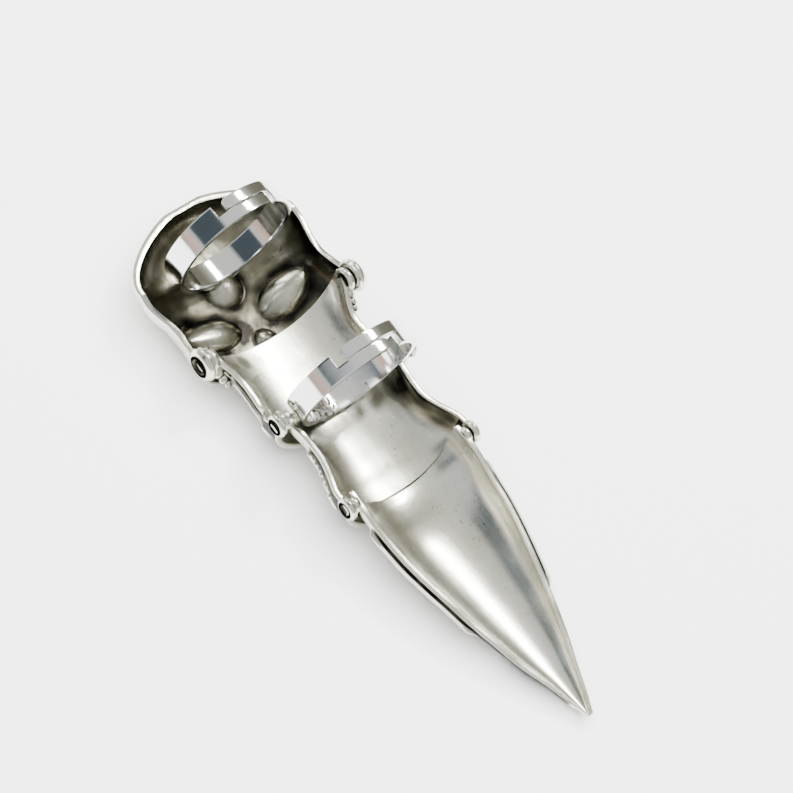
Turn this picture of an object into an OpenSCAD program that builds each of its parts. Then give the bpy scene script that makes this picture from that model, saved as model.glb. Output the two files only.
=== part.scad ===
// Knuckle armour ring: four cast shells hinged in a row along the back of one finger.
// It lies on its back, palm side up, with the wrist end at -X and the pointed tip at +X.

/* [Hinges] */
// Pin line of the skull plate's hinge, along the length
pin_a_x = -24.7; // [-24.9:0.05:-24.5]
// Height of that pin line above the table
pin_a_z = 8.45; // [8.3:0.05:8.6]
// Pin line of the middle hinge, along the length
pin_b_x = -10.4; // [-10.6:0.05:-10.2]
// Height of that pin line above the table
pin_b_z = 10.05; // [9.95:0.05:10.15]
// Pin line of the claw's hinge, along the length
pin_c_x = 5.15; // [5:0.05:5.3]
// Height of that pin line above the table
pin_c_z = 8.75; // [8.65:0.05:8.85]
// Radius of the thick pins at the skull plate
pin_a_r = 1.15; // [1:0.05:1.2]
// Radius of the other pins
pin_r = 0.75; // [0.6:0.05:0.8]
// Radial play where a plate turns on its pins
pin_play = 0.05; // [0.03:0.01:0.1]

/* [Finger bands] */
// Outer radius of both finger bands
band_r = 10; // [9.8:0.1:10.1]
// Thickness of the band metal
band_t = 0.85; // [0.8:0.05:1.0]
// Width of the band metal
band_w = 3.8; // [3.4:0.1:4.0]
// Width of the slit between a band's two tongues
slit_w = 0.22; // [0.15:0.01:0.4]

/* [Cast shells] */
// Wall of the plates and the claw
wall = 0.85; // [0.75:0.05:0.9]
// Wall of the skull plate
skull_wall = 0.9; // [0.8:0.05:1.0]
// Height of the raised scrolls
scroll_h = 0.5; // [0.3:0.05:0.6]
// Height of the ridge along the back
ridge_h = 0.7; // [0.5:0.05:0.8]
// Depth of the eye hollows
eye_depth = 1.5; // [1.0:0.1:1.7]

/* [Hidden] */
$fn = 64;

silver = "silver";
steel = "lightsteelblue";

// Columns of a shell's table
X = 0;
HALF = 1;
RIM = 2;
FLOOR = 3;

// First plate inside: length, half width, rim height, floor height
first_table = [
    [-26.6, 12.05, 9.1, 3.95],
    [-25.6, 12.0, 9.1, 3.9],
    [-23.6, 11.3, 8.7, 3.75],
    [-21.7, 10.45, 7.85, 3.6],
    [-19.7, 9.95, 7.2, 3.45],
    [-17.7, 9.95, 7.0, 3.25],
    [-15.7, 10.1, 6.8, 3.05],
    [-14.0, 10.5, 7.3, 2.85],
    [-12.7, 11.6, 8.8, 2.7],
    [-11.6, 11.85, 9.7, 2.62],
    [-10.4, 11.9, 9.9, 2.55],
    [-9.2, 11.9, 9.3, 2.5],
    [-7.6, 11.9, 7.2, 2.45]];

// Second plate inside
second_table = [
    [-12.9, 9.85, 9.3, 4.5],
    [-11.5, 9.75, 9.5, 4.4],
    [-9.5, 9.55, 9.5, 4.25],
    [-7.5, 9.2, 9.5, 4.0],
    [-5.5, 9.1, 9.2, 3.7],
    [-3.5, 9.15, 9.05, 3.4],
    [-1.5, 9.65, 9.1, 3.1],
    [0.5, 10.4, 9.3, 2.85],
    [2.2, 11.05, 9.4, 2.6],
    [3.7, 11.2, 9.45, 2.45],
    [5.2, 11.25, 9.4, 2.3],
    [6.6, 11.25, 8.6, 2.2],
    [8.2, 11.2, 6.8, 2.1]];

// Claw inside
claw_table = [
    [3.5, 9.4, 9.6, 3.65],
    [5.5, 9.6, 9.5, 3.5],
    [7.0, 9.62, 9.3, 3.4],
    [9.0, 9.58, 8.8, 2.95],
    [11.0, 9.4, 8.3, 2.3],
    [13.5, 9.15, 7.8, 1.8],
    [16.4, 8.85, 7.35, 1.6],
    [20.4, 8.1, 6.75, 1.55],
    [24.3, 7.2, 6.15, 1.55],
    [28.3, 6.25, 5.35, 1.6],
    [32.2, 5.15, 4.75, 1.65],
    [36.2, 3.95, 3.95, 1.65],
    [40.1, 2.6, 3.35, 1.6],
    [44.1, 1.35, 2.7, 1.55],
    [47.65, 0.12, 2.15, 1.55]];

// Skull plate outside, from the crown to the jaw
skull_table = [
    [-38.7, 14.5, 8.2, 1.9],
    [-36.8, 14.6, 7.7, 0.95],
    [-34.8, 14.25, 7.45, 0.45],
    [-32.8, 13.8, 7.45, 0.35],
    [-30.8, 13.7, 7.5, 0.35],
    [-28.8, 14.0, 7.6, 0.35],
    [-26.6, 14.4, 7.9, 0.35],
    [-24.7, 14.55, 8.0, 0.35],
    [-23.4, 14.4, 7.2, 0.4],
    [-22.3, 13.9, 5.4, 0.5]];
// Round crown: its length past the table, half width of its blunt end, powers of plan and bowl
crown_l = 8.95;
crown_end = 3;
crown_plan = 1.6;
crown_bowl = 0.72;

// Power of each shell's rounded section; lower is squarer
skull_power = 0.8;
plate_power = 0.82;
claw_power = 0.95;

// Scrolls on the backs: place along the length, distance from the middle line, radius, turn
first_scrolls = [
    [-20.6, 4.6, 2.4, 1],
    [-15.6, 4.7, 2.6, -1],
    [-10.4, 4.3, 2.3, 1],
    [-18.2, 9.8, 2.1, -1],
    [-13.0, 10.2, 2.0, 1]];
second_scrolls = [
    [-6.2, 4.5, 2.4, 1],
    [-0.9, 4.7, 2.6, -1],
    [4.4, 4.3, 2.3, 1],
    [-3.6, 10.0, 2.1, -1],
    [1.5, 10.6, 1.9, 1]];
claw_scrolls = [
    [12.6, 4.4, 2.5, 1],
    [18.0, 4.1, 2.3, -1],
    [23.2, 3.7, 2.1, 1],
    [28.0, 3.1, 1.8, -1],
    [32.2, 2.6, 1.5, 1],
    [15.0, 9.8, 2.0, -1],
    [20.3, 8.7, 1.8, 1],
    [25.2, 7.4, 1.6, -1]];
// How far the jaw's end is drawn back at the two rims
jaw_bow = 1.4;
// Raised border outside each rim: its height and its place from the middle line to the rim
border_h = 0.6;
border_w = 0.88;
scroll_line = 0.62;
scroll_pull = 0.45;
scroll_bead = 0.3;

// Face of the skull
eye_x = -30.2;
eye_y = 6.6;
eye_half = [2.9, 4.6];
eye_turn = 14;
brow_h = 0.55;
nub_x = -35.6;
nub_r = 2.9;
nub_depth = 1.1;
nose_x = -25.2;
nose_half = [2.4, 1.9];
nose_depth = 1.15;
teeth = 8;
tooth_pitch = 2.0;
tooth_size = [2.6, 1.65, 0.9];

// Ears on the outer plate of each hinge: inner face, outer face, radius
ear_a = [13.3, 14.9, 2.6];
ear_b = [11.8, 12.8, 1.8];
ear_c = [11.15, 12.2, 1.8];
// Eyelets on the inner plate of each hinge
lug_a = [12.0, 13.15, 1.75];
lug_b = [9.93, 11.65, 1.23];
lug_c = [9.83, 11.0, 1.23];
// Inner end of each pin and how far its outer end is set back
pin_in = [11.9, 9.7, 9.6];
pin_back = [0.8, 0.35, 0.35];
pin_gap = 0.02;

// Bands: centre along the length, centre height, lean towards the tip, and round the
// top from left to right: left step, end of right tongue, end of left tongue, right step
base_band = [-37.8, 12.95, 2.5, [-24, -14.9, 25.3, 32.5]];
middle_band = [-9.8, 14.55, 8, [-35.4, -25.5, 15.4, 27]];
// Solder under each band: half width, depth below the band and height
base_pad = [5.2, 0.62, 1.75];
middle_pad = [4.3, 0.56, 1.5];
over = 0.6;

function flat(rows) = [for (row = rows) each row];

// Smooth reading of one column of a table at any length
function step_of(t, x, i = 0) = (i >= len(t) - 2 || x < t[i + 1][X]) ? i : step_of(t, x, i + 1);
function slope_of(t, i, c) = let(lo = max(i - 1, 0), hi = min(i + 1, len(t) - 1))
    (t[hi][c] - t[lo][c]) / (t[hi][X] - t[lo][X]);
function read(t, x, c) = let(
    i = step_of(t, x), h = t[i + 1][X] - t[i][X], u = (x - t[i][X]) / h, v = 1 - u)
    t[i][c] * v * v * (1 + 2 * u) + t[i + 1][c] * u * u * (1 + 2 * v)
    + h * u * v * (v * slope_of(t, i, c) - u * slope_of(t, i + 1, c));

// Point of a rounded trough section: turn -90 is the left rim, 0 the middle of the back
function power(v, p) = sign(v) * pow(abs(v), p);
// Turn at a part w of the way from the middle to a rim, for even steps on squarish sections
function turn_of(w) = 90 * sign(w) * pow(abs(w), 1.25) / (pow(abs(w), 1.25) + pow(1 - abs(w), 1.25));
function section(turn, half, depth, p) = [half * power(sin(turn), p), -depth * power(cos(turn), p)];

// One raised scroll: a line that winds in to a bead
function scroll(x, s, k) = let(
    dx = x - k[0], ds = s - k[1], r = norm([dx, ds]),
    line_r = k[2] * (1 - scroll_pull * (atan2(ds * k[3], dx) + 180) / 360))
    max(exp(-pow((r - line_r) / scroll_line, 2)), exp(-pow(r / (scroll_bead * k[2]), 2)));
function scrolls(x, s, list) = max([for (k = list) scroll(x, abs(s), k)]);
function fade(x, lo, hi, soft) = min(1, max(0, (x - lo) / soft)) * min(1, max(0, (hi - x) / soft));
function hill(q) = q >= 1 ? 0 : pow(1 - q, 0.75);

// Closed trough from a fine outer skin and an inner skin on every second row and column
module trough(outer, inner) {
    rows = len(outer) - 1;
    cols = len(outer[0]) - 1;
    shift = (rows + 1) * (cols + 1);
    function o(i, j) = i * (cols + 1) + j;
    function k(i, j) = shift + i / 2 * (cols / 2 + 1) + j / 2;
    function seam(a, b, c, d, e, turned) = turned
        ? [[b, a, d], [c, b, e], [b, d, e]] : [[a, b, d], [b, c, e], [b, e, d]];
    faces = concat(
        [for (i = [0 : rows - 1], j = [0 : cols - 1])
            each [[o(i, j), o(i + 1, j), o(i + 1, j + 1)], [o(i, j), o(i + 1, j + 1), o(i, j + 1)]]],
        [for (i = [0 : 2 : rows - 2], j = [0 : 2 : cols - 2])
            each [[k(i, j), k(i + 2, j + 2), k(i + 2, j)], [k(i, j), k(i, j + 2), k(i + 2, j + 2)]]],
        [for (j = [0 : 2 : cols - 2])
            each seam(o(0, j), o(0, j + 1), o(0, j + 2), k(0, j), k(0, j + 2), false)],
        [for (j = [0 : 2 : cols - 2])
            each seam(o(rows, j), o(rows, j + 1), o(rows, j + 2), k(rows, j), k(rows, j + 2), true)],
        [for (i = [0 : 2 : rows - 2])
            each seam(o(i, 0), o(i + 1, 0), o(i + 2, 0), k(i, 0), k(i + 2, 0), true)],
        [for (i = [0 : 2 : rows - 2])
            each seam(o(i, cols), o(i + 1, cols), o(i + 2, cols), k(i, cols), k(i + 2, cols), false)]);
    polyhedron(points = concat(flat(outer), flat(inner)), faces = faces);
}

// Plate from a table. ends: start, its bow at the back, finish, its bow; raised relief outside
module plate(table, ends, rows, cols, p, list, plain, taper = 0) {
    last = ends[2];
    function spot(i, j) = let(w = 2 * j / cols - 1, turn = turn_of(w), c = pow(cos(turn), 2),
        a = ends[0] + ends[1] * c, b = ends[2] + ends[3] * c) [a + i / rows * (b - a), turn, w];
    function point(x, turn, t, h) = let(
        rim = read(table, x, RIM),
        yz = section(turn, read(table, x, HALF) + t, rim - read(table, x, FLOOR) + t, p))
        [x, yz[0] + h * sin(turn), max(0, rim + yz[1] - h * cos(turn))];
    function relief(x, w) = let(
        s = w * (read(table, x, HALF) + read(table, x, RIM) - read(table, x, FLOOR)) * 0.83)
        fade(x, plain[0], plain[1], 1.6) * max(
            scroll_h * scrolls(x, s, list) * fade(abs(w), -1, 0.86, 0.1),
            border_h * exp(-pow((abs(w) - border_w) / 0.045, 2)) * fade(x, plain[0], plain[1] - 4.4, 1),
            ridge_h * exp(-pow(s / 1.1, 2)));
    outer = [for (i = [0 : rows]) [for (j = [0 : cols]) let(q = spot(i, j))
        point(q[0], q[1], taper > 0 ? wall * (0.35 + 0.65 * min(1, (last - q[0]) / taper)) : wall,
            relief(q[0], q[2]))]];
    inner = [for (i = [0 : 2 : rows]) [for (j = [0 : 2 : cols]) let(q = spot(i, j))
        point(q[0], q[1], 0, 0)]];
    trough(outer, inner);
}

// Skull plate: a bowl behind the table's first row, then a trough open at the jaw
module skull(rows, crown_rows, cols) {
    function arc_of(i) = i < crown_rows ? 90 * (1 - i / crown_rows) : 0;
    function x_of(i, t) = i < crown_rows
        ? skull_table[0][X] - (crown_l - t) * sin(arc_of(i))
        : skull_table[0][X] + (i - crown_rows) / (rows - crown_rows)
            * (skull_table[len(skull_table) - 1][X] - skull_table[0][X]);
    function eye(x, y) = let(dx = x - eye_x, dy = abs(y) - eye_y,
        u = dx * cos(eye_turn) + dy * sin(eye_turn), v = dy * cos(eye_turn) - dx * sin(eye_turn))
        pow(u / eye_half[0], 2) + pow(v / eye_half[1], 2);
    function dents(x, y) = eye_depth * hill(eye(x, y))
        + nub_depth * hill((pow(x - nub_x, 2) + y * y) / pow(nub_r, 2))
        + nose_depth * hill(pow((x - nose_x) / nose_half[0], 2) + pow(y / nose_half[1], 2));
    function brow(x, y) = brow_h * exp(-pow((sqrt(eye(x, y)) - 1.3) / 0.2, 2)) * fade(x, -36, -23.5, 1.5);
    function point(i, j, t) = let(
        w = 2 * j / cols - 1, turn = turn_of(w), a = arc_of(i),
        x = x_of(i, t) - jaw_bow * pow(sin(turn), 2) * max(0, (i - crown_rows) / (rows - crown_rows)),
        tx = max(x, skull_table[0][X]),
        wide = read(skull_table, tx, HALF) - t, rim = read(skull_table, tx, RIM),
        half = crown_end - t + (wide - crown_end + t) * pow(cos(a), crown_plan),
        deep = (rim - read(skull_table, tx, FLOOR) - t) * (a == 90 ? 0 : pow(cos(a), crown_bowl)),
        yz = a == 90 ? [half * w, 0] : section(turn, half, deep, skull_power),
        dent = dents(x, yz[0]))
        [x, yz[0], t > 0 ? rim + yz[1] + dent
            : max(0, rim + yz[1] + dent - brow(x, yz[0]) * (dent > 0.02 ? 0.3 : 1))];
    outer = [for (i = [0 : rows]) [for (j = [0 : cols]) point(i, j, 0)]];
    inner = [for (i = [0 : 2 : rows]) [for (j = [0 : 2 : cols]) point(i, j, skull_wall)]];
    trough(outer, inner);
}

// Place a flat shape on the pin line x, z between two distances on one side
module on_pin(x, z, side, from, to) {
    translate([x, side * (from + to) / 2, z]) rotate([90, 0, 0])
        linear_extrude(to - from, center = true) children();
}

// Round ear that stands up from the wall
module ear(x, z, e, side) {
    on_pin(x, z, side, e[0], e[1]) circle(e[2]);
}

// Cutter for a pin hole
module pin_hole(x, z, r, side, from, to) {
    on_pin(x, z, side, from, to) circle(r);
}

// Places children in a band's own frame: axis along X, top at +Z
module at_band(b) {
    translate([b[0], 0, b[1]]) rotate([0, b[2], 0]) children();
}

// Sector of the band's wall between two angles from the top, positive to the right
module sector(from, to, low, high) {
    rotate([-from, 0, 0]) rotate([0, 90, 0]) rotate([0, 0, 180])
        rotate_extrude(angle = -(to - from))
            translate([band_r - band_t - over, low]) square([band_t + 2 * over, high - low]);
}

// Gap past a tongue's round end: way is 1 when the tongue ends at the sector's start
module tongue_gap(from, to, half_side, way) {
    low = half_side > 0 ? 0 : -band_w / 2 - over;
    high = half_side > 0 ? band_w / 2 + over : 0;
    end_r = (band_w - slit_w) / 4;
    tilt = end_r / band_r * 180 / PI;
    tip = way > 0 ? from - tilt : to + tilt;
    mid = half_side * (slit_w / 2 + end_r);
    difference() {
        sector(way > 0 ? tip : from, way > 0 ? to : tip, low, high);
        rotate([-tip, 0, 0]) translate([mid, 0, band_r - band_t - over - 0.2])
            cylinder(r = end_r + 0.04, h = band_t + 2 * over + 0.4);
    }
}

// Band metal before its bore is cut
module band_blank(b, pad) {
    at_band(b) union() {
        rotate([0, 90, 0]) cylinder(r = band_r, h = band_w, center = true, $fn = 96);
        translate([-band_w / 2 + 0.2, -pad[0], -band_r - pad[1]])
            cube([band_w - 0.4, 2 * pad[0], pad[2]]);
    }
}

// What is cut from a band: the finger hole, the gaps past both tongues and the slit
module band_cut(b) {
    k = b[3];
    at_band(b) union() {
        rotate([0, 90, 0])
            cylinder(r = band_r - band_t, h = band_w + 0.3, center = true, $fn = 96);
        tongue_gap(k[0], k[1], -1, -1);
        tongue_gap(k[2], k[3], 1, 1);
        sector(k[0] - 0.6, k[3] + 0.6, -slit_w / 2, slit_w / 2);
    }
}

module teeth_row() {
    for (i = [0 : teeth - 1]) {
        y = (i - (teeth - 1) / 2) * tooth_pitch;
        lift = 0.011 * y * y;
        translate([-22.9, y, 0.6 + lift]) rotate([atan(0.022 * y), 0, 0])
            cube(tooth_size, center = true);
    }
}

module skull_plate() color(silver) difference() {
    union() {
        skull(38, 12, 36);
        teeth_row();
        for (side = [-1, 1]) ear(pin_a_x, pin_a_z, ear_a, side);
        band_blank(base_band, base_pad);
    }
    band_cut(base_band);
    for (side = [-1, 1])
        pin_hole(pin_a_x, pin_a_z, pin_a_r + pin_gap, side, ear_a[0] - over, ear_a[1] + over);
}

module first_plate() color(silver) difference() {
    union() {
        plate(first_table, [-26.5, 1.9, -9.6, 1.6], 26, 36, plate_power, first_scrolls, [-22.0, -8.0]);
        for (side = [-1, 1]) on_pin(pin_a_x, pin_a_z, side, lug_a[0], lug_a[1]) circle(lug_a[2]);
        for (side = [-1, 1]) ear(pin_b_x, pin_b_z, ear_b, side);
    }
    for (side = [-1, 1]) {
        pin_hole(pin_a_x, pin_a_z, pin_a_r + pin_play, side, lug_a[0] - 1.2, lug_a[1] + over);
        pin_hole(pin_b_x, pin_b_z, pin_r + pin_gap, side, ear_b[0] - over, ear_b[1] + over);
    }
}

module second_plate() color(silver) difference() {
    union() {
        plate(second_table, [-12.6, 0, 5.9, 1.6], 26, 36, plate_power, second_scrolls, [-6.6, 7.6]);
        for (side = [-1, 1]) on_pin(pin_b_x, pin_b_z, side, lug_b[0], lug_b[1]) circle(lug_b[2]);
        for (side = [-1, 1]) ear(pin_c_x, pin_c_z, ear_c, side);
        band_blank(middle_band, middle_pad);
    }
    band_cut(middle_band);
    for (side = [-1, 1]) {
        pin_hole(pin_b_x, pin_b_z, pin_r + pin_play, side, lug_b[0] - 1.2, lug_b[1] + over);
        pin_hole(pin_c_x, pin_c_z, pin_r + pin_gap, side, ear_c[0] - over, ear_c[1] + over);
    }
}

module claw() color(silver) difference() {
    union() {
        plate(claw_table, [3.5, 2.0, 47.65, 0], 44, 32, claw_power, claw_scrolls, [8.6, 46], 10);
        for (side = [-1, 1]) on_pin(pin_c_x, pin_c_z, side, lug_c[0], lug_c[1]) circle(lug_c[2]);
    }
    for (side = [-1, 1])
        pin_hole(pin_c_x, pin_c_z, pin_r + pin_play, side, lug_c[0] - 1.2, lug_c[1] + over);
}

module pin(x, z, r, side, from, to) color(steel) pin_hole(x, z, r, side, from, to);
module pin_a_left() pin(pin_a_x, pin_a_z, pin_a_r, 1, pin_in[0], ear_a[1] - pin_back[0]);
module pin_a_right() pin(pin_a_x, pin_a_z, pin_a_r, -1, pin_in[0], ear_a[1] - pin_back[0]);
module pin_b_left() pin(pin_b_x, pin_b_z, pin_r, 1, pin_in[1], ear_b[1] - pin_back[1]);
module pin_b_right() pin(pin_b_x, pin_b_z, pin_r, -1, pin_in[1], ear_b[1] - pin_back[1]);
module pin_c_left() pin(pin_c_x, pin_c_z, pin_r, 1, pin_in[2], ear_c[1] - pin_back[2]);
module pin_c_right() pin(pin_c_x, pin_c_z, pin_r, -1, pin_in[2], ear_c[1] - pin_back[2]);

skull_plate();
first_plate();
second_plate();
claw();
pin_a_left();
pin_a_right();
pin_b_left();
pin_b_right();
pin_c_left();
pin_c_right();
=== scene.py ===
import math
import random

import bmesh
import bpy
from mathutils import Matrix, Vector, noise


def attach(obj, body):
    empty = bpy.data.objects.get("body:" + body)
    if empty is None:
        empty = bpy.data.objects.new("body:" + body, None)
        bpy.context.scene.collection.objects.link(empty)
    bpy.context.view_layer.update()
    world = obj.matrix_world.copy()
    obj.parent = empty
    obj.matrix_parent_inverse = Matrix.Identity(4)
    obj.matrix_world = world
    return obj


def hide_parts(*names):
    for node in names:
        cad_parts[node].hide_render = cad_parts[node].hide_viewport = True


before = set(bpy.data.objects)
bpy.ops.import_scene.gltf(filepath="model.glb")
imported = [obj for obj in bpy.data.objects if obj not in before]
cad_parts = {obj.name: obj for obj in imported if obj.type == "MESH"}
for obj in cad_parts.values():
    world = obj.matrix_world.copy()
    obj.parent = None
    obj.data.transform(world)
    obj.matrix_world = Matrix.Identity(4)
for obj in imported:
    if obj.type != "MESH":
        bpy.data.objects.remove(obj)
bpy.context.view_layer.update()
print("frame loaded:", sorted(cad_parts))

mm = 0.001
coarse = 1  # quick tries use half the rows and columns

# pin lines of the three hinges: place along the ring and height, mm
hinges = {"a": (-24.7, 8.45), "b": (-10.4, 10.05), "c": (5.15, 8.75)}


# finishes

def newMaterial(name):
    material = bpy.data.materials.new(name)
    material.use_nodes = True
    return material, material.node_tree.nodes, material.node_tree.links


def addNode(nodes, kind, **values):
    node = nodes.new(kind)
    for key, value in values.items():
        setattr(node, key, value)
    return node


def addRamp(nodes, links, source, stops):
    ramp = nodes.new("ShaderNodeValToRGB")
    while len(ramp.color_ramp.elements) < len(stops):
        ramp.color_ramp.elements.new(0.5)
    for element, (place, color) in zip(ramp.color_ramp.elements, stops):
        element.position = place
        element.color = (*color, 1.0)
    links.new(source, ramp.inputs["Fac"])
    return ramp.outputs["Color"]


def grey(value):
    return (value, value, value)


def mixColor(nodes, links, kind, factor, first, second):
    mix = nodes.new("ShaderNodeMix")
    mix.data_type = "RGBA"
    mix.blend_type = kind
    if isinstance(factor, float):
        mix.inputs["Factor"].default_value = factor
    else:
        links.new(factor, mix.inputs["Factor"])
    for socket, value in ((mix.inputs["A"], first), (mix.inputs["B"], second)):
        if isinstance(value, tuple):
            socket.default_value = (*value, 1.0)
        else:
            links.new(value, socket)
    return mix.outputs["Result"]


castSilver = {
    "bright": (0.86, 0.855, 0.785),  # polished metal
    "warm": (0.71, 0.69, 0.57),      # faint brown cast in the worn metal
    # olive and black also carry painted shade: the painted edge shadows and darker patches
    "olive": (0.15, 0.145, 0.11),    # half cleaned antiquing
    "black": (0.010, 0.009, 0.008),  # antiquing left in the recesses
    "roughBright": 0.17,
    "roughBlack": 0.42,
    "pitsFrom": 0.68,                # lower makes more pits
    "pitsDark": 0.7,
    "cloudScale": 190.0,             # soft patches of tone
    "pitScale": 2300.0,
    "hairScale": (160.0, 4200.0, 4200.0),  # hairlines run along the ring
    "hairSpread": 0.14,              # how far they change the roughness
    "hairBump": (0.12, 0.02),        # strength and distance in mm
    "cloudBump": (0.35, 0.12),
}


def makeCastSilver(name, look, shade=1.0, rough=0.0, bump=1.0):
    material, nodes, links = newMaterial(name)
    shader = nodes["Principled BSDF"]
    shader.inputs["Metallic"].default_value = 1.0
    place = addNode(nodes, "ShaderNodeTexCoord").outputs["Object"]
    wearAndShade = addNode(nodes, "ShaderNodeAttribute", attribute_name="wearAndShade").outputs["Fac"]

    cloud = addNode(nodes, "ShaderNodeTexNoise")
    cloud.inputs["Scale"].default_value = look["cloudScale"]
    cloud.inputs["Detail"].default_value = 6.0
    cloud.inputs["Roughness"].default_value = 0.62
    links.new(place, cloud.inputs["Vector"])

    specks = addNode(nodes, "ShaderNodeTexNoise")  # black left in casting pits
    specks.inputs["Scale"].default_value = look["pitScale"]
    specks.inputs["Detail"].default_value = 2.0
    links.new(place, specks.inputs["Vector"])
    pits = addRamp(nodes, links, specks.outputs["Fac"],
                   [(look["pitsFrom"], grey(0.0)), (look["pitsFrom"] + 0.06, grey(1.0))])

    stretch = addNode(nodes, "ShaderNodeMapping")
    stretch.inputs["Scale"].default_value = look["hairScale"]
    links.new(place, stretch.inputs["Vector"])
    hair = addNode(nodes, "ShaderNodeTexNoise")
    hair.inputs["Scale"].default_value = 1.0
    hair.inputs["Detail"].default_value = 4.0
    links.new(stretch.outputs["Vector"], hair.inputs["Vector"])

    warmth = addRamp(nodes, links, cloud.outputs["Fac"], [(0.38, grey(0.0)), (0.72, grey(1.0))])
    metal = mixColor(nodes, links, "MIX", warmth, look["bright"], look["warm"])
    metal = mixColor(nodes, links, "MULTIPLY", 1.0, metal, grey(shade))

    soft = addNode(nodes, "ShaderNodeMath", operation="MULTIPLY_ADD")  # ragged edge of the antiquing
    soft.inputs[1].default_value = 0.5
    links.new(cloud.outputs["Fac"], soft.inputs[0])
    links.new(wearAndShade, soft.inputs[2])
    rubbed = addRamp(nodes, links, soft.outputs[0], [(0.24, grey(0.0)), (0.50, grey(1.0))])
    clean = addRamp(nodes, links, soft.outputs[0], [(0.52, grey(0.0)), (0.90, grey(1.0))])
    color = mixColor(nodes, links, "MIX", rubbed, look["black"], look["olive"])
    color = mixColor(nodes, links, "MIX", clean, color, metal)
    pitted = addNode(nodes, "ShaderNodeMath", operation="MULTIPLY")
    pitted.inputs[1].default_value = look["pitsDark"]
    links.new(pits, pitted.inputs[0])
    color = mixColor(nodes, links, "MIX", pitted.outputs[0], color, look["black"])
    links.new(color, shader.inputs["Base Color"])

    roughness = addNode(nodes, "ShaderNodeMapRange")
    roughness.inputs["To Min"].default_value = look["roughBlack"]
    roughness.inputs["To Max"].default_value = look["roughBright"] + rough
    links.new(clean, roughness.inputs["Value"])
    spread = addNode(nodes, "ShaderNodeMath", operation="MULTIPLY_ADD")
    spread.inputs[1].default_value = look["hairSpread"]
    links.new(hair.outputs["Fac"], spread.inputs[0])
    links.new(roughness.outputs["Result"], spread.inputs[2])
    links.new(spread.outputs[0], shader.inputs["Roughness"])

    def addBump(height, strength, distance):
        relief = addNode(nodes, "ShaderNodeBump")
        relief.inputs["Strength"].default_value = strength * bump
        relief.inputs["Distance"].default_value = distance * mm
        links.new(height, relief.inputs["Height"])
        return relief

    fine = addBump(hair.outputs["Fac"], *look["hairBump"])
    wavy = addBump(cloud.outputs["Fac"], *look["cloudBump"])
    links.new(fine.outputs["Normal"], wavy.inputs["Normal"])
    links.new(wavy.outputs["Normal"], shader.inputs["Normal"])
    return material


plateFinish = makeCastSilver("plateFinish", castSilver)
darker = {**castSilver, "olive": (0.165, 0.157, 0.115), "roughBlack": 0.16, "roughBright": 0.13,
          "pitsFrom": 0.66}
skullFinish = makeCastSilver("skullFinish", darker, shade=0.9, bump=2.2)
polished = {**castSilver, "bright": (0.88, 0.89, 0.9), "warm": (0.84, 0.82, 0.79), "roughBright": 0.03,
            "pitsFrom": 0.74}
bandFinish = makeCastSilver("bandFinish", polished, bump=0.25)
# pins are made darker all over: painted shade for their deep recess
pinShadeFinish = makeCastSilver("pinShadeFinish", castSilver, shade=0.7, rough=0.12)
print("finishes made")


# shapes shared by the shells

def readTable(table, x, column):
    row = 0
    while row < len(table) - 2 and x >= table[row + 1][0]:
        row += 1
    step = table[row + 1][0] - table[row][0]
    part = (x - table[row][0]) / step
    rest = 1 - part

    def slope(at):
        low, high = max(at - 1, 0), min(at + 1, len(table) - 1)
        return (table[high][column] - table[low][column]) / (table[high][0] - table[low][0])

    return (table[row][column] * rest * rest * (1 + 2 * part)
            + table[row + 1][column] * part * part * (1 + 2 * rest)
            + step * part * rest * (rest * slope(row) - part * slope(row + 1)))


def signedPower(value, power):
    return math.copysign(abs(value) ** power, value)


def turnOf(w):  # from -1 at the left rim to 1 at the right rim, in even steps
    near, far = abs(w) ** 1.25, (1 - abs(w)) ** 1.25
    return math.copysign(math.pi / 2 * near / (near + far), w)


def fade(x, low, high, soft):
    return min(1, max(0, (x - low) / soft)) * min(1, max(0, (high - x) / soft))


def smooth(value):
    value = min(1.0, max(0.0, value))
    return value * value * (3 - 2 * value)


def hill(q):
    return 0.0 if q >= 1 else (1 - q) ** 0.75


def scrollHeight(x, s, scrolls):  # height 0 to 1 of the raised scrolls at one place
    best = 0.0
    for placeX, placeS, radius, way in scrolls:
        dx, ds = x - placeX, abs(s) - placeS
        r = math.hypot(dx, ds)
        if r > radius * 1.7:
            continue
        angle = math.degrees(math.atan2(ds * way, dx))
        line = radius * (1 - 0.45 * (angle + 180) / 360)
        raised = math.exp(-((r - line) / 0.5) ** 2)
        groove = 0.32 * math.exp(-((r - line) / 0.13) ** 2)  # a cut line along each scroll
        bead = math.exp(-(r / (0.3 * radius)) ** 2)
        best = max(best, raised - groove, bead)
    return best


# painted shadow: a black line painted beneath the next piece's edge: depth of tone, start before the edge
# and its softness, then how much lighter the covered strip is, from where and how softly
edgeShadow = {"dark": 0.98, "before": 0.85, "soft": 0.25, "lighter": 0.45, "after": 0.5, "afterSoft": 0.8}


def paintedEdgeShadow(x, edge):
    line = edgeShadow
    return (1 - line["dark"] * smooth((x - edge + line["before"]) / line["soft"])
            + line["lighter"] * smooth((x - edge - line["after"]) / line["afterSoft"]))


def closeShell(bm, rimEdge):
    # bridges the two skins along their borders and rounds the rim
    border = [edge for edge in bm.edges if edge.is_boundary]
    rimFaces = set(bmesh.ops.bridge_loops(bm, edges=border)["faces"])
    bmesh.ops.recalc_face_normals(bm, faces=bm.faces)
    corners = [edge for edge in bm.edges
               if len(edge.link_faces) == 2 and len(rimFaces.intersection(edge.link_faces)) == 1]
    bmesh.ops.bevel(bm, geom=corners, offset=rimEdge, offset_type="OFFSET", segments=2,
                    profile=0.5, affect="EDGES", clamp_overlap=True, material=-1)


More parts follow.
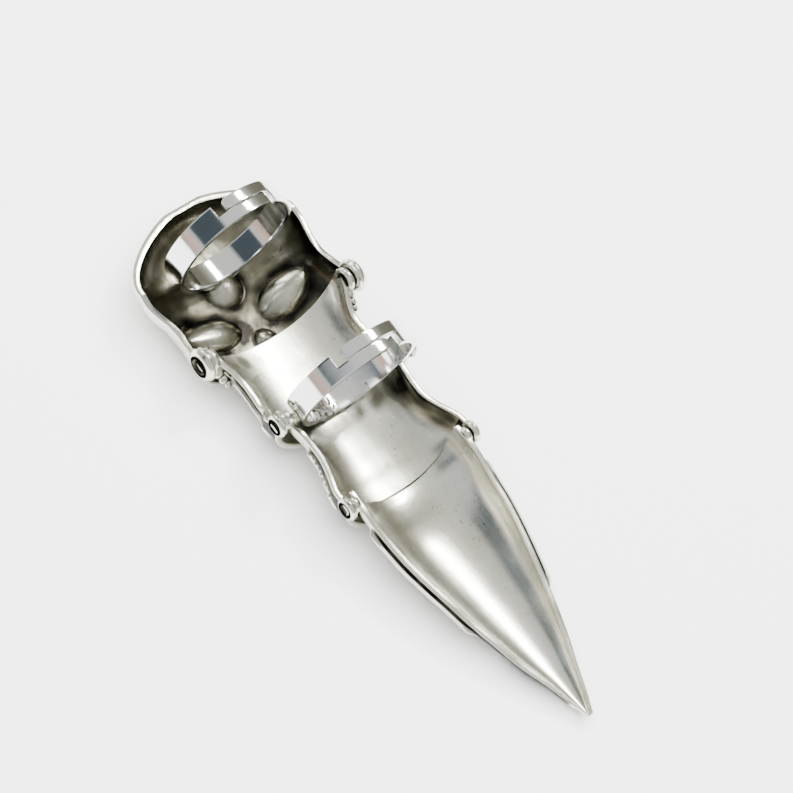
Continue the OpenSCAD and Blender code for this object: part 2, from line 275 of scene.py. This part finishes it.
def finishMesh(bm, name, material, body):
    mesh = bpy.data.meshes.new(name)
    bm.to_mesh(mesh)
    bm.free()
    mesh.polygons.foreach_set("use_smooth", [True] * len(mesh.polygons))
    piece = bpy.data.objects.new(name, mesh)
    bpy.context.scene.collection.objects.link(piece)
    mesh.materials.append(material)
    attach(piece, body)
    return piece


# plates and claw

firstPlate = {
    # each row: length, half width, rim height, floor height, all inside, mm
    "table": [
        (-26.6, 12.05, 9.1, 3.95), (-25.6, 12.0, 9.1, 3.9), (-23.6, 11.3, 8.7, 3.75),
        (-21.7, 10.45, 7.85, 3.6), (-19.7, 9.95, 7.2, 3.45), (-17.7, 9.95, 7.0, 3.25),
        (-15.7, 10.1, 6.8, 3.05), (-14.0, 10.5, 7.3, 2.85), (-12.7, 11.6, 8.8, 2.7),
        (-11.6, 11.85, 9.7, 2.62), (-10.4, 11.9, 9.9, 2.55), (-9.2, 11.9, 9.3, 2.5),
        (-7.6, 11.9, 7.2, 2.45)],
    "ends": (-26.5, 1.9, -9.6, 1.6),  # wrist end at the rims and its bow, tip end and its bow
    "power": 0.82,  # squareness of the section
    "plain": (-22.0, -8.0),  # cast relief lies between these
    "taper": 0,  # length over which the wall thins
    # line cast along the flank: height, place from rim to rim, end, pitch of its beads or 0,
    # and height of the dark shelf between it and the rim
    "border": (0.65, 0.865, -12.4, 0, 0.1),
    "next": (-12.6, 0),  # where the next plate's edge lies: at the rims, and its bow
    # uneven antiquing inside, partly painted shade of darker reflections: length, place from rim to rim,
    # reach of both, depth of tone
    "stainsAndShade": [(-23.0, -0.42, 2.8, 0.24, 0.72), (-18.5, -0.78, 4.5, 0.28, 0.6),
               (-21.0, 0.78, 5.5, 0.25, 0.6)],
    "rows": 110, "columns": 150,
    # length, distance from the spine, radius, way it curls
    "scrolls": [(-20.6, 4.6, 2.4, 1), (-15.6, 4.7, 2.6, -1), (-10.4, 4.3, 2.3, 1),
                (-18.2, 9.8, 2.1, -1), (-13.0, 10.2, 2.0, 1)],
}
secondPlate = {
    "table": [
        (-12.9, 9.85, 9.3, 4.5), (-11.5, 9.75, 9.5, 4.4), (-9.5, 9.55, 9.5, 4.25),
        (-7.5, 9.2, 9.5, 4.0), (-5.5, 9.1, 9.2, 3.7), (-3.5, 9.15, 9.05, 3.4),
        (-1.5, 9.65, 9.1, 3.1), (0.5, 10.4, 9.3, 2.85), (2.2, 11.05, 9.4, 2.6),
        (3.7, 11.2, 9.45, 2.45), (5.2, 11.25, 9.4, 2.3), (6.6, 11.25, 8.6, 2.2),
        (8.2, 11.2, 6.8, 2.1)],
    "ends": (-12.6, 0, 5.9, 1.6), "power": 0.82, "plain": (-6.6, 7.6), "taper": 0,
    "next": (3.5, 2.0),
    "border": (0.75, 0.87, 3.2, 1.7, 0.1),
    "stainsAndShade": [(-3.5, 0.88, 8.5, 0.48, 0.86), (-8.0, 0.2, 2.0, 0.9, 0.5)],
    "rows": 120, "columns": 150,
    "scrolls": [(-6.2, 4.5, 2.4, 1), (-0.9, 4.7, 2.6, -1), (4.4, 4.3, 2.3, 1),
                (-3.6, 10.0, 2.1, -1), (1.5, 10.6, 1.9, 1)],
}
clawPlate = {
    "table": [
        (3.5, 9.4, 9.6, 3.65), (5.5, 9.6, 9.5, 3.5), (7.0, 9.62, 9.3, 3.4),
        (9.0, 9.58, 8.8, 2.95), (11.0, 9.4, 8.3, 2.3), (13.5, 9.15, 7.8, 1.8),
        (16.4, 8.85, 7.35, 1.6), (20.4, 8.1, 6.75, 1.55), (24.3, 7.2, 6.15, 1.55),
        (28.3, 6.25, 5.35, 1.6), (32.2, 5.15, 4.75, 1.65), (36.2, 3.95, 3.95, 1.65),
        (40.1, 2.6, 3.35, 1.6), (44.1, 1.35, 2.7, 1.55), (47.65, 0.12, 2.15, 1.55)],
    "ends": (3.5, 2.0, 47.65, 0), "power": 0.95, "plain": (8.6, 46), "taper": 10,
    "next": None,
    "border": (1.05, 0.895, 30.0, 0, 0.5),
    "stainsAndShade": [(10.0, -0.35, 5.0, 0.3, 0.3), (8.0, 0.85, 6.0, 0.25, 0.3)],
    "rows": 210, "columns": 160,
    "scrolls": [(12.6, 4.4, 2.5, 1), (18.0, 4.1, 2.3, -1), (23.2, 3.7, 2.1, 1), (28.0, 3.1, 1.8, -1),
                (32.2, 2.6, 1.5, 1), (15.0, 9.8, 2.0, -1), (20.3, 8.7, 1.8, 1), (25.2, 7.4, 1.6, -1)],
}
castWall = {
    "wall": 0.85, "rimEdge": 0.13,
    "tipWall": 0.35,  # share of the wall left where it has thinned
    "scroll": 0.5, "ridge": 0.7, "ridgeHalf": 1.1,
    "flank": 0.84, "flankSoft": 0.06,  # the scrolls end here, from spine 0 to rim 1
    "borderHalf": 0.02,
    "shelf": (0.85, 0.03, 0.968, 0.022),  # start, softness, end and softness of the dark shelf
    "rimBright": 0.965,
    "lineAt": 0.962, "lineHalf": 0.012, "lineDark": 0.45,  # thin line inside the rim
    "cut": 0.985, "cutTone": 0.8,  # ends and rims are rubbed bright from here on
}


def castRelief(plate, x, w, s):
    # height in mm and tone of the outside, at a length, from rim to rim, and at mm from the spine
    cast, flank = castWall, abs(w)
    shown = fade(x, *plate["plain"], 1.6)
    lines = scrollHeight(x, s, plate["scrolls"]) * fade(flank, -1, cast["flank"], cast["flankSoft"])
    ridge = math.exp(-(s / cast["ridgeHalf"]) ** 2)
    borderHigh, borderPlace, borderEnd, pitch, shelfHigh = plate["border"]
    border = math.exp(-((flank - borderPlace) / cast["borderHalf"]) ** 2)
    border *= fade(x, plate["plain"][0], borderEnd, 1.2)
    if pitch:
        border *= 0.55 + 0.45 * math.cos(2 * math.pi * x / pitch)
    low, lowSoft, high, highSoft = cast["shelf"]
    shelf = shelfHigh * smooth((high - flank) / highSoft) * smooth((flank - low) / lowSoft)
    shelf *= fade(x, plate["plain"][0] + 1, borderEnd, 2.6)
    lift = shown * max(cast["scroll"] * lines, borderHigh * border, shelf, cast["ridge"] * ridge)
    raised = max(lines, border, ridge, smooth((flank - cast["rimBright"]) / 0.02))
    return lift, 1 - shown * (1 - smooth(raised * 1.3))


def insideTone(plate, x, w, bow):
    cast, flank, tone = castWall, abs(w), 1.0
    if plate["next"]:
        edgeAt, edgeBow = plate["next"]
        # painted shadow beneath the next plate's edge
        tone = max(paintedEdgeShadow(x, edgeAt + edgeBow * bow), 0.3 * smooth((flank - 0.5) / 0.2))
    # darker patches inside: uneven antiquing and painted shade of darker reflections
    for patchX, patchW, spanX, spanW, dark in plate["stainsAndShade"]:
        q = ((x - patchX) / spanX) ** 2 + ((w - patchW) / spanW) ** 2
        tone -= dark * math.exp(-q) * (1 + 0.6 * noise.noise(Vector((x * 0.25, w * 9, 3))))
    return tone - cast["lineDark"] * math.exp(-((flank - cast["lineAt"]) / cast["lineHalf"]) ** 2)


def makePlate(name, plate, body):
    table, power, cast = plate["table"], plate["power"], castWall
    start, startBow, finish, finishBow = plate["ends"]
    bm = bmesh.new()
    wearAndShade = bm.verts.layers.float.new("wearAndShade")
    for outside in (True, False):
        skin = bmesh.ops.create_grid(bm, x_segments=plate["rows"] // coarse,
                                     y_segments=plate["columns"] // coarse, size=1.0)["verts"]
        for vert in skin:
            along, w = (vert.co.x + 1) / 2, max(-1.0, min(1.0, vert.co.y))
            turn = turnOf(w)
            bow = math.cos(turn) ** 2
            first, last = start + startBow * bow, finish + finishBow * bow
            x = first + along * (last - first)
            half, rim, floor = (readTable(table, x, column) for column in (1, 2, 3))
            wall, lift = 0.0, 0.0
            if outside:
                wall = cast["wall"]
                if plate["taper"]:
                    thin = min(1, (finish - x) / plate["taper"])
                    wall *= cast["tipWall"] + (1 - cast["tipWall"]) * thin
                lift, tone = castRelief(plate, x, w, w * (half + rim - floor) * 0.83)
            else:
                tone = insideTone(plate, x, w, bow)
            half, depth = half + wall, rim - floor + wall
            y = half * signedPower(math.sin(turn), power)
            z = rim - depth * abs(math.cos(turn)) ** power
            y += lift * math.sin(turn)
            z -= lift * math.cos(turn)
            if along > cast["cut"] or abs(w) > cast["cut"]:
                tone = max(tone, cast["cutTone"])
            vert.co = Vector((x, y, max(0.0, z))) * mm
            vert[wearAndShade] = tone
    closeShell(bm, cast["rimEdge"] * mm)
    piece = finishMesh(bm, name, plateFinish, body)
    print(name, len(piece.data.polygons), "faces")
    return piece


firstShell = makePlate("firstPlateShell", firstPlate, "first_body")
secondShell = makePlate("secondPlateShell", secondPlate, "second_body")
clawShell = makePlate("clawShell", clawPlate, "claw_body")


# skull plate

skullPlate = {
    # each row: length, half width, rim height, floor height, all outside, mm
    "table": [
        (-38.7, 14.5, 8.2, 1.9), (-36.8, 14.6, 7.7, 0.95), (-34.8, 14.25, 7.45, 0.45),
        (-32.8, 13.8, 7.45, 0.35), (-30.8, 13.7, 7.5, 0.35), (-28.8, 14.0, 7.6, 0.35),
        (-26.6, 14.4, 7.9, 0.35), (-24.7, 14.55, 8.0, 0.35), (-23.4, 14.4, 7.2, 0.4),
        (-22.3, 13.9, 5.4, 0.5)],
    "wall": 0.9, "power": 0.8, "rimEdge": 0.14,
    "jawBow": 1.4,  # how far the jaw's ends are drawn back
    # the rounded crown: length, half width at its end, roundness seen from above and from the side,
    # share of the rows
    "crown": {"length": 8.95, "end": 3.0, "plan": 1.6, "bowl": 0.72, "share": 0.34},
    "rows": 170, "columns": 190,
    "eye": {"x": -30.2, "y": 6.6, "half": (2.9, 4.6), "turn": 14, "depth": 1.5, "brow": 0.55},
    "nub": {"x": -35.6, "r": 2.9, "depth": 1.1},
    "nose": {"x": -25.2, "half": (2.4, 1.9), "depth": 1.15},
    "teeth": {"count": 8, "pitch": 2.0, "size": (2.6, 1.62, 0.95), "x": -22.9},
}


def eyeDistance(x, y):
    eye = skullPlate["eye"]
    dx, dy = x - eye["x"], abs(y) - eye["y"]
    turn = math.radians(eye["turn"])
    u = dx * math.cos(turn) + dy * math.sin(turn)
    v = dy * math.cos(turn) - dx * math.sin(turn)
    return (u / eye["half"][0]) ** 2 + (v / eye["half"][1]) ** 2


def faceHollows(x, y):
    eye, nub, nose = skullPlate["eye"], skullPlate["nub"], skullPlate["nose"]
    return (eye["depth"] * hill(eyeDistance(x, y))
            + nub["depth"] * hill(((x - nub["x"]) ** 2 + y * y) / nub["r"] ** 2)
            + nose["depth"] * hill(((x - nose["x"]) / nose["half"][0]) ** 2 + (y / nose["half"][1]) ** 2))


def hollowRings(x, y):  # dark line round the eye hollows and the nub, 0 to 1
    eyeEdge, nub = math.sqrt(eyeDistance(x, y)), skullPlate["nub"]
    nubEdge = math.hypot(x - nub["x"], y) / nub["r"]
    return max(math.exp(-((eyeEdge - 1.08) / (0.14 if eyeEdge < 1.08 else 0.4)) ** 2),
               math.exp(-((nubEdge - 1.06) / (0.14 if nubEdge < 1.06 else 0.35)) ** 2))


def addTeeth(bm, wearAndShade):
    teeth = skullPlate["teeth"]
    for count in range(teeth["count"]):
        y = (count - (teeth["count"] - 1) / 2) * teeth["pitch"]
        place = Matrix.Translation(Vector((teeth["x"], y, 0.6 + 0.011 * y * y)) * mm)
        tilt = Matrix.Rotation(math.atan(0.022 * y), 4, "X")
        size = Matrix.Diagonal((*(Vector(teeth["size"]) * mm), 1))
        tooth = bmesh.ops.create_cube(bm, size=1.0, matrix=place @ tilt @ size)["verts"]
        edges = {edge for vert in tooth for edge in vert.link_edges}
        for vert in tooth:
            vert[wearAndShade] = 0.9
        bmesh.ops.bevel(bm, geom=list(edges), offset=0.25 * mm, offset_type="OFFSET", segments=3,
                        profile=0.5, affect="EDGES", clamp_overlap=True, material=-1)


def makeSkull():
    table, crown, wall = skullPlate["table"], skullPlate["crown"], skullPlate["wall"]
    first, last = table[0][0], table[-1][0]
    bm = bmesh.new()
    wearAndShade = bm.verts.layers.float.new("wearAndShade")
    for thick in (0.0, wall):
        skin = bmesh.ops.create_grid(bm, x_segments=skullPlate["rows"] // coarse,
                                     y_segments=skullPlate["columns"] // coarse, size=1.0)["verts"]
        for vert in skin:
            along, w = (vert.co.x + 1) / 2, max(-1.0, min(1.0, vert.co.y))
            arc = math.pi / 2 * max(0.0, 1 - along / crown["share"])
            if arc > 0:
                x = first - (crown["length"] - thick) * math.sin(arc)
            else:
                part = (along - crown["share"]) / (1 - crown["share"])
                x = first + part * (last - first) - skullPlate["jawBow"] * part * math.sin(turnOf(w)) ** 2
            tableX = max(x, first)
            wide, rim, floor = (readTable(table, tableX, column) for column in (1, 2, 3))
            wide -= thick
            end = crown["end"] - thick
            bend = max(0.0, math.cos(arc)) if along > 1e-6 else 0.0
            half = end + (wide - end) * bend ** crown["plan"]
            deep = (rim - floor - thick) * bend ** crown["bowl"]
            turn = turnOf(w)
            y = half * (signedPower(math.sin(turn), skullPlate["power"]) if bend > 0 else w)
            z = rim - deep * abs(math.cos(turn)) ** skullPlate["power"] * (1 if bend > 0 else 0)
            hollow = faceHollows(x, y)
            z += hollow
            if thick:
                tone = 0.27 + 0.22 * smooth(hollow / 1.3) - 0.27 * hollowRings(x, y)
                tone += 0.16 * noise.noise(Vector((x, y, z)) * 0.45)
                tone -= 0.2 * smooth((abs(w) - 0.78) / 0.12)
                if along > crown["share"]:
                    bow = math.cos(turn) ** 2
                    # painted shadow beneath the first plate's wrist edge
                    tone *= paintedEdgeShadow(x, firstPlate["ends"][0] + firstPlate["ends"][1] * bow)
            else:
                brow = math.exp(-((math.sqrt(eyeDistance(x, y)) - 1.3) / 0.2) ** 2)
                brow *= skullPlate["eye"]["brow"] * fade(x, -36, -23.5, 1.5)
                z = max(0.0, z - brow * (0.3 if hollow > 0.02 else 1))
                tone = 0.95 - 1.05 * smooth(hollow / 0.7)
                tone -= 0.85 * smooth((x + 24.8) / 0.4) * smooth((8.9 - abs(y)) / 0.5)  # dark gums
            vert.co = Vector((x, y, z)) * mm
            vert[wearAndShade] = tone
    closeShell(bm, skullPlate["rimEdge"] * mm)
    for face in bm.faces:  # the flat rim is rubbed bright
        if abs(face.normal.z) > 0.9 and face.calc_center_median().z > 6.2 * mm:
            for vert in face.verts:
                vert[wearAndShade] = max(vert[wearAndShade], 1.0)
    addTeeth(bm, wearAndShade)
    piece = finishMesh(bm, "skullShell", skullFinish, "skull_body")
    print("skullShell", len(piece.data.polygons), "faces")
    return piece


skullShell = makeSkull()


# finger bands

bandSize = {"radius": 10.0, "wall": 0.85, "width": 3.8, "slit": 0.22, "edge": 0.12, "steps": 360}
# centre along the ring, height, lean in degrees; round the top: left step, end of the right
# tongue, end of the left tongue, right step, in degrees
baseBand = {"x": -37.8, "z": 12.95, "lean": 2.5, "stops": (-24, -14.9, 25.3, 32.5),
            "pad": (5.2, 0.62), "dirt": 0.25}
middleBand = {"x": -9.8, "z": 14.55, "lean": 8, "stops": (-35.4, -25.5, 15.4, 27),
              "pad": (4.3, 0.56), "dirt": 1.0}
# dirt round the foot: where it starts, in degrees from the top, and the middle and reach of its patch
footDirt = {"from": 118, "soft": 30, "patch": -160, "reach": 24}
# fillet of solder: half length along the ring, depth below the band's outside, least height
solder = {"half": 2.3, "sink": 0.37, "low": -0.3, "lumps": 0.1}


def bandPlace(band):
    return (Matrix.Translation(Vector((band["x"], 0, band["z"])) * mm)
            @ Matrix.Rotation(math.radians(band["lean"]), 4, "Y"))


def makeBand(name, band, body, seed):
    size = bandSize
    leftStep, rightEnd, leftEnd, rightStep = band["stops"]
    across = 13  # six strips each side of the slit
    halfSlit, halfWidth = size["slit"] / 2, size["width"] / 2
    bm = bmesh.new()
    wearAndShade = bm.verts.layers.float.new("wearAndShade")
    bmesh.ops.create_grid(bm, x_segments=size["steps"], y_segments=across, size=1.0)

    def footTone(angle, turn, place):
        patch = smooth(1.4 - abs(angle - footDirt["patch"]) / footDirt["reach"])
        specks = noise.noise(Vector((turn * 16, place * 1.7, seed)))
        specks += 0.6 * noise.noise(Vector((turn * 40, place * 4.2, seed)))
        dirt = smooth((abs(angle) - footDirt["from"]) / footDirt["soft"])
        return 1 - band["dirt"] * dirt * smooth(specks * 1.8 - 0.45 + patch)

    def stripEdge(v):  # -1..1 to a place across the band with the slit as the middle strip
        column = (v + 1) / 2 * across
        if column <= 6.001:
            return -halfWidth + (halfWidth - halfSlit) * column / 6
        return halfSlit + (halfWidth - halfSlit) * (column - 7) / 6

    def topAngle(u):  # -180..180, 0 at the top
        return u * 180

    gone = []
    for face in bm.faces:
        centre = face.calc_center_median()
        angle, column = topAngle(centre.x), int((centre.y + 1) / 2 * across)
        if not leftStep < angle < rightStep:
            continue
        if column == 6 or (column < 6 and angle < rightEnd) or (column > 6 and angle > leftEnd):
            gone.append(face)
    bmesh.ops.delete(bm, geom=gone, context="FACES")
    roundEnd = (size["width"] - size["slit"]) / 4
    roundAngle = math.degrees(roundEnd / size["radius"])
    for vert in bm.verts:
        angle, place = topAngle(vert.co.x), stripEdge(vert.co.y)
        middle = math.copysign(halfSlit + roundEnd, place)
        inward = min(1.0, abs(place - middle) / roundEnd * 0.97)
        roundness = math.sqrt(1 - inward * inward)
        if place < 0 and rightEnd - 0.6 <= angle < rightEnd + roundAngle:
            angle = rightEnd + roundAngle - (rightEnd + roundAngle - angle) * roundness
        if place > 0 and leftEnd + 0.6 >= angle > leftEnd - roundAngle:
            angle = leftEnd - roundAngle + (angle - leftEnd + roundAngle) * roundness
        turn = math.radians(angle)
        vert.co = Vector((place, size["radius"] * math.sin(turn), size["radius"] * math.cos(turn))) * mm
        vert[wearAndShade] = footTone(angle, turn, place)
    bmesh.ops.remove_doubles(bm, verts=bm.verts, dist=0.001 * mm)
    bmesh.ops.recalc_face_normals(bm, faces=bm.faces)
    if sum(face.normal.dot(face.calc_center_median()) for face in bm.faces) < 0:  # turned inwards
        bmesh.ops.reverse_faces(bm, faces=bm.faces)
    bmesh.ops.transform(bm, matrix=bandPlace(band), verts=bm.verts)
    piece = finishMesh(bm, name, bandFinish, body)
    wall = piece.modifiers.new("wall", "SOLIDIFY")
    wall.thickness = size["wall"] * mm
    wall.offset = -1
    wall.use_even_offset = True
    edge = piece.modifiers.new("edge", "BEVEL")
    edge.width = size["edge"] * mm
    edge.segments = 3
    edge.limit_method = "ANGLE"
    edge.angle_limit = math.radians(40)
    return piece


def makeSolder(name, band, body, seed):
    # lumpy fillet of solder between the band's foot and the shell
    halfWidth, depth = band["pad"]
    bm = bmesh.new()
    wearAndShade = bm.verts.layers.float.new("wearAndShade")
    bmesh.ops.create_icosphere(bm, subdivisions=5, radius=1.0)
    random.seed(seed)
    shift = Vector((random.random() * 50, 0, 0))
    for vert in bm.verts:
        lump = 1 + solder["lumps"] * noise.noise(vert.co * 3 + shift)
        side = vert.co.y * halfWidth * lump
        bottom = -math.sqrt(bandSize["radius"] ** 2 - side * side)
        flat = vert.co * lump
        height = bottom - solder["sink"] + max(flat.z, solder["low"]) * (depth + 0.1)
        vert.co = Vector((flat.x * solder["half"], side, height)) * mm
        vert[wearAndShade] = 0.42 + 0.35 * noise.noise(vert.co * 900)
    bmesh.ops.transform(bm, matrix=bandPlace(band), verts=bm.verts)
    bmesh.ops.recalc_face_normals(bm, faces=bm.faces)
    return finishMesh(bm, name, skullFinish, body)


makeBand("baseBand", baseBand, "skull_body", 2)
makeBand("middleBand", middleBand, "second_body", 5)
makeSolder("baseSolder", baseBand, "skull_body", 3)
makeSolder("middleSolder", middleBand, "second_body", 8)
print("bands made")


# hinges: ears, eyelets and pins

def hingeRing(name, hinge, side, inner, outer, radius, hole, body, tone, edge):
    # a closed profile of (radius, distance out), turned round the hinge line
    bend = min(edge, (outer - inner) / 3)
    profile = [(hole + 0.06, inner), (radius - bend, inner), (radius - bend * 0.3, inner + bend * 0.3),
               (radius * 0.72, inner), (radius, inner + bend), (radius, outer - bend * 1.6),
               (radius - bend * 0.45, outer - bend * 0.5), (radius - bend * 1.6, outer),
               (hole + 0.12, outer), (radius * 0.72, outer), (hole, outer - 0.12), (hole, inner + 0.06)]
    bm = bmesh.new()
    wearAndShade = bm.verts.layers.float.new("wearAndShade")
    verts = [bm.verts.new(Vector((r, side * out, 0)) * mm) for r, out in profile]
    edges = [bm.edges.new((a, b)) for a, b in zip(verts, verts[1:] + verts[:1])]
    bmesh.ops.spin(bm, geom=verts + edges, cent=(0, 0, 0), axis=(0, 1, 0), dvec=(0, 0, 0),
                   angle=math.radians(360), steps=48, use_merge=True)
    x, z = hinges[hinge]
    place = Vector((x, 0, z)) * mm
    for vert in bm.verts:
        spread = math.hypot(vert.co.x, vert.co.z) / mm
        if spread < hole + 0.13:  # black in the bore
            vert[wearAndShade] = 0.0
        else:
            vert[wearAndShade] = tone + (1 - tone) * smooth((spread / radius - 0.7) / 0.2)
        vert.co = vert.co + place
    bmesh.ops.recalc_face_normals(bm, faces=bm.faces)
    return finishMesh(bm, name, plateFinish, body)


def hingePin(name, hinge, side, inner, outer, radius, body):
    x, z = hinges[hinge]
    place = Vector((x, 0, z)) * mm
    bm = bmesh.new()
    wearAndShade = bm.verts.layers.float.new("wearAndShade")
    bmesh.ops.create_cone(bm, cap_ends=True, segments=48, radius1=radius * mm, radius2=radius * mm,
                          depth=(outer - inner) * mm,
                          matrix=Matrix.Translation(place + Vector((0, side * (inner + outer) / 2, 0)) * mm)
                          @ Matrix.Rotation(math.radians(90), 4, "X"))
    caps = [edge for edge in bm.edges if len(edge.link_faces) == 2 and edge.calc_face_angle() > 1.2]
    # the whole pin is painted dark: painted shade for its deep recess
    for vert in bm.verts:
        vert[wearAndShade] = -0.3
    bmesh.ops.bevel(bm, geom=caps, offset=0.12 * mm, offset_type="OFFSET", segments=2,
                    profile=0.5, affect="EDGES", clamp_overlap=True, material=-1)
    return finishMesh(bm, name, pinShadeFinish, body)


# inner face, outer face and radius of each part, mm; tone of the ears' faces and roundness of their rims
hingeParts = {
    "a": {"ear": (13.3, 14.9, 2.6), "earHole": 1.17, "lug": (12.0, 13.15, 1.75), "lugHole": 1.2,
          "pin": (11.9, 13.7, 1.15), "earLook": (0.9, 0.6),
          "outer": "skull_body", "inner": "first_body"},
    "b": {"ear": (11.8, 12.8, 1.8), "earHole": 0.77, "lug": (9.93, 11.65, 1.23), "lugHole": 0.8,
          "pin": (9.7, 12.45, 0.75), "earLook": (0.25, 0.3),
          "outer": "first_body", "inner": "second_body"},
    "c": {"ear": (11.15, 12.2, 1.8), "earHole": 0.77, "lug": (9.83, 11.0, 1.23), "lugHole": 0.8,
          "pin": (9.6, 11.85, 0.75), "earLook": (0.25, 0.3),
          "outer": "second_body", "inner": "claw_body"},
}
lugLook = (0.35, 0.22)
# small cast beads on the first plate beside its eyelets: length, distance out, height, radius, mm
eyeletBeads = [(-23.0, 12.3, 6.8, 0.8), (-21.9, 12.1, 6.4, 0.66), (-21.0, 11.9, 6.1, 0.5)]


def makeBeads(name, beads, body):
    bm = bmesh.new()
    wearAndShade = bm.verts.layers.float.new("wearAndShade")
    for side in (1, -1):
        for x, out, z, radius in beads:
            place = Matrix.Translation(Vector((x, side * out, z)) * mm)
            ball = bmesh.ops.create_icosphere(bm, subdivisions=4, radius=radius * mm, matrix=place)["verts"]
            for vert in ball:
                outward = (vert.co - place.translation).normalized()
                vert.co += outward * 0.06 * mm * math.sin(outward.x * 4) * math.cos(outward.z * 4)
                vert[wearAndShade] = 0.85 * smooth(outward.y * side * 0.5 + outward.z * 0.8 + 0.1)
    return finishMesh(bm, name, plateFinish, body)


makeBeads("firstBeads", eyeletBeads, "first_body")
for hinge, part in hingeParts.items():
    for side, sideName in ((1, "Left"), (-1, "Right")):
        label = hinge.upper() + sideName
        hingeRing("ear" + label, hinge, side, *part["ear"], part["earHole"], part["outer"],
                  *part["earLook"])
        hingeRing("eyelet" + label, hinge, side, *part["lug"], part["lugHole"], part["inner"],
                  *lugLook)
        pin = hingePin("pin" + label, hinge, side, *part["pin"], part["outer"])
        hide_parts("pin_" + hinge + "_" + sideName.lower())
print("hinges made:", 2 * len(hingeParts), "of each: ears, eyelets and pins")

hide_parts("skull_plate")
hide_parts("first_plate")
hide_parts("second_plate")
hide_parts("claw")


# floor, light and camera

studio = {
    "floorSize": 6.0, "floorColor": (0.95, 0.95, 0.95),
    # the room, from level on the claw's left side (0) over the top (0.5) to level towards the viewer (1)
    "room": [(0.0, (0.17, 0.165, 0.12)), (0.18, (0.24, 0.23, 0.17)), (0.27, (0.55, 0.55, 0.47)),
             (0.34, (0.80, 0.80, 0.73)), (0.48, (0.88, 0.88, 0.84)), (0.62, (0.80, 0.82, 0.82)),
             (0.75, (0.84, 0.88, 0.90)), (0.89, (0.74, 0.77, 0.79)), (0.93, (1.0, 0.76, 0.63)),
             (1.0, (0.75, 0.56, 0.47))],
    "roomStrength": 1.0,
    # a dark slate patch in it, where the photographer stands: its edges round the room and along it
    "dark": {"around": [(0.59, grey(0.0)), (0.63, grey(1.0)), (0.865, grey(1.0)), (0.885, grey(0.0))],
             "along": [(0.26, grey(0.0)), (0.31, grey(1.0)), (0.43, grey(1.0)), (0.48, grey(0.0))],
             "color": (0.07, 0.095, 0.11)},
    # place, aim, width, height, power, color, seen in the metal
    "lamps": {
        "overhead": ((-0.12, 0.3, 0.45), (0, 0, 0), 0.2, 0.08, 2.6, (1.0, 1.0, 0.95), True),
        "window": ((-0.5, 0.1, 0.35), (0, 0, 0.01), 0.12, 0.25, 1.2, (1.0, 0.97, 0.92), True),
        "fill": ((0.0, 0.0, 1.2), (0, 0, 0), 1.6, 1.6, 85.0, (1.0, 1.0, 1.0), False),
    },
}

bpy.ops.mesh.primitive_plane_add(size=studio["floorSize"])
floor = bpy.context.object
floor.name = "floor"
floorFinish, floorNodes = newMaterial("floorFinish")[:2]
floorShader = floorNodes["Principled BSDF"]
floorShader.inputs["Base Color"].default_value = (*studio["floorColor"], 1.0)
floorShader.inputs["Roughness"].default_value = 0.9
floor.data.materials.append(floorFinish)

world = bpy.data.worlds.new("studioWorld")
world.use_nodes = True
skyNodes, skyLinks = world.node_tree.nodes, world.node_tree.links
lookTo = addNode(skyNodes, "ShaderNodeTexCoord").outputs["Generated"]
parts = addNode(skyNodes, "ShaderNodeSeparateXYZ")
skyLinks.new(lookTo, parts.inputs[0])
around = addNode(skyNodes, "ShaderNodeMath", operation="ARCTAN2")
skyLinks.new(parts.outputs["Z"], around.inputs[0])
skyLinks.new(parts.outputs["Y"], around.inputs[1])
share = addNode(skyNodes, "ShaderNodeMath", operation="DIVIDE")
share.inputs[1].default_value = math.pi
skyLinks.new(around.outputs[0], share.inputs[0])
room = addRamp(skyNodes, skyLinks, share.outputs[0], studio["room"])
unitX = addNode(skyNodes, "ShaderNodeMapRange")
unitX.inputs["From Min"].default_value = -1.0
skyLinks.new(parts.outputs["X"], unitX.inputs["Value"])
darkStops = studio["dark"]
darkAround = addRamp(skyNodes, skyLinks, share.outputs[0], darkStops["around"])
darkAlong = addRamp(skyNodes, skyLinks, unitX.outputs["Result"], darkStops["along"])
patch = mixColor(skyNodes, skyLinks, "MULTIPLY", 1.0, darkAround, darkAlong)
skyLinks.new(mixColor(skyNodes, skyLinks, "MIX", patch, room, darkStops["color"]),
             skyNodes["Background"].inputs["Color"])
skyNodes["Background"].inputs["Strength"].default_value = studio["roomStrength"]
bpy.context.scene.world = world

for lampName, (spot, aim, width, height, power, tint, seen) in studio["lamps"].items():
    lamp = bpy.data.lights.new(lampName, "AREA")
    lamp.shape = "RECTANGLE"
    lamp.size, lamp.size_y, lamp.energy, lamp.color = width, height, power, tint
    holder = bpy.data.objects.new(lampName, lamp)
    holder.location = spot
    holder.visible_glossy = seen
    holder.rotation_mode = "QUATERNION"
    holder.rotation_quaternion = (Vector(aim) - Vector(spot)).to_track_quat("-Z", "Y")
    bpy.context.scene.collection.objects.link(holder)

# place in mm, turn in degrees, lens and sensor in mm, near and far clip in m
photoCamera = {"place": (193.86, -309.94, 579.17), "turn": (31.386, -11.481, 50.280),
               "lens": 217.09, "sensor": 36.0, "clip": (0.05, 20.0)}
camera = bpy.data.objects.new("camera", bpy.data.cameras.new("camera"))
camera.data.lens = photoCamera["lens"]
camera.data.sensor_width = photoCamera["sensor"]
camera.data.clip_start, camera.data.clip_end = photoCamera["clip"]
camera.location = Vector(photoCamera["place"]) * mm
camera.rotation_euler = [math.radians(angle) for angle in photoCamera["turn"]]
bpy.context.scene.collection.objects.link(camera)
bpy.context.scene.camera = camera
print("floor, light and camera set")
